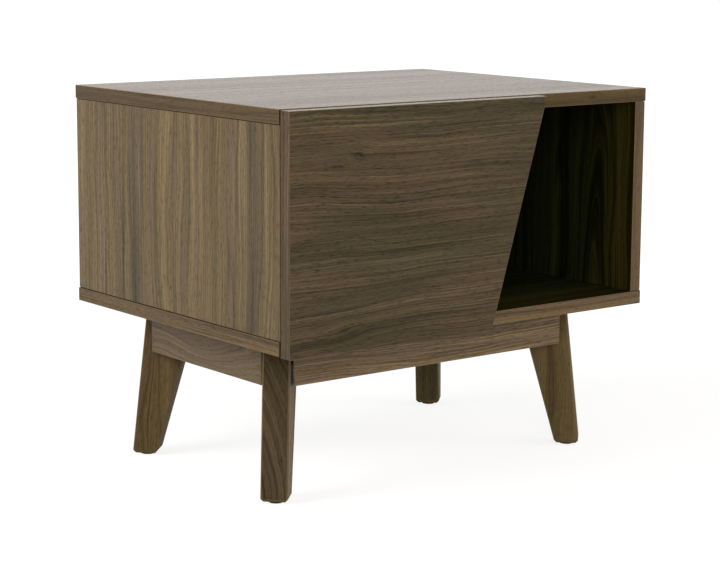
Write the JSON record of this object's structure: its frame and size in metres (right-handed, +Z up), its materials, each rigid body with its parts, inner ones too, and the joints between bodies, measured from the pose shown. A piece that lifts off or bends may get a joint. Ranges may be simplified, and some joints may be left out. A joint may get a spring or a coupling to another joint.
{
  "type": "side table with drawer",
  "caption": "Walnut side table: a low open case with a slant-edged overlay drawer front beside an open cubby, on splayed plank legs set between mitred aprons.",
  "frame": {"origin": "on the floor, under the middle of the whole table with the drawer closed", "axes": "+Z up; +X to the right of someone facing the drawer; the drawer opens towards -Y"},
  "size_m": [0.61, 0.4946, 0.502],
  "materials": {
    "walnut_case": "satin lacquered walnut veneer, straight grain",
    "walnut_front": "satin lacquered walnut veneer, grain across the front",
    "walnut_leg": "satin lacquered solid walnut",
    "walnut_back": "walnut veneer on a thin board",
    "drawer_ply": "sealed birch plywood and pine battens",
    "zinc_steel": "zinc plated",
    "glide_plastic": "moulded, dark grey",
    "clear_rubber": "translucent bumper"
  },
  "bodies": {
    "carcass": {"top_board": "walnut_case", "bottom_board": "walnut_case", "side_panel_left": "walnut_case", "side_panel_right": "walnut_case", "divider": "walnut_case", "back_panel": "walnut_back", "apron_front": "walnut_case", "apron_right": "walnut_case", "apron_back": "walnut_case", "apron_left": "walnut_case", "leg_front_left": "walnut_leg", "leg_front_right": "walnut_leg", "leg_back_right": "walnut_leg", "leg_back_left": "walnut_leg", "glide_front_left": "glide_plastic", "glide_front_right": "glide_plastic", "glide_back_right": "glide_plastic", "glide_back_left": "glide_plastic", "bracket_front_left": "zinc_steel", "bracket_front_right": "zinc_steel", "bracket_back_right": "zinc_steel", "bracket_back_left": "zinc_steel", "hanger_bolt_front_left": "zinc_steel", "hanger_bolt_front_right": "zinc_steel", "hanger_bolt_back_right": "zinc_steel", "hanger_bolt_back_left": "zinc_steel", "nut_front_left": "zinc_steel", "nut_front_right": "zinc_steel", "nut_back_right": "zinc_steel", "nut_back_left": "zinc_steel", "cleat_front": "drawer_ply", "cleat_back": "drawer_ply", "runner_left_case": "zinc_steel", "runner_right_case": "zinc_steel", "runner_screw_left_case_1": "zinc_steel", "runner_screw_left_case_2": "zinc_steel", "runner_screw_right_case_1": "zinc_steel", "runner_screw_right_case_2": "zinc_steel", "bumper_left_lower": "clear_rubber", "bumper_left_upper": "clear_rubber", "bumper_right_lower": "clear_rubber", "bumper_right_upper": "clear_rubber"},
    "left_middle_runner": {"runner_left_middle": "zinc_steel"},
    "right_middle_runner": {"runner_right_middle": "zinc_steel"},
    "drawer": {"drawer_front": "walnut_front", "drawer_box_front": "drawer_ply", "drawer_box_back": "drawer_ply", "drawer_floor": "drawer_ply", "drawer_side_left": "drawer_ply", "drawer_side_right": "drawer_ply", "drawer_front_screw_1": "zinc_steel", "drawer_front_screw_2": "zinc_steel", "drawer_front_screw_3": "zinc_steel", "drawer_front_screw_4": "zinc_steel", "runner_left_drawer": "zinc_steel", "runner_right_drawer": "zinc_steel", "runner_screw_left_drawer_1": "zinc_steel", "runner_screw_left_drawer_2": "zinc_steel", "runner_screw_right_drawer_1": "zinc_steel", "runner_screw_right_drawer_2": "zinc_steel"}
  },
  "joints": [
    {"name": "drawer_slide", "type": "slide", "parent": "carcass", "child": "drawer", "axis": [0, -1, 0], "range_m": [0, 0.36]},
    {"name": "left_runner_slide", "type": "slide", "parent": "carcass", "child": "left_middle_runner", "axis": [0, -1, 0], "range_m": [0, 0.18]},
    {"name": "right_runner_slide", "type": "slide", "parent": "carcass", "child": "right_middle_runner", "axis": [0, -1, 0], "range_m": [0, 0.18]}
  ],
  "couplings": [
    {"joint": "left_runner_slide", "follows": "drawer_slide", "ratio": 0.5},
    {"joint": "right_runner_slide", "follows": "drawer_slide", "ratio": 0.5}
  ]
}
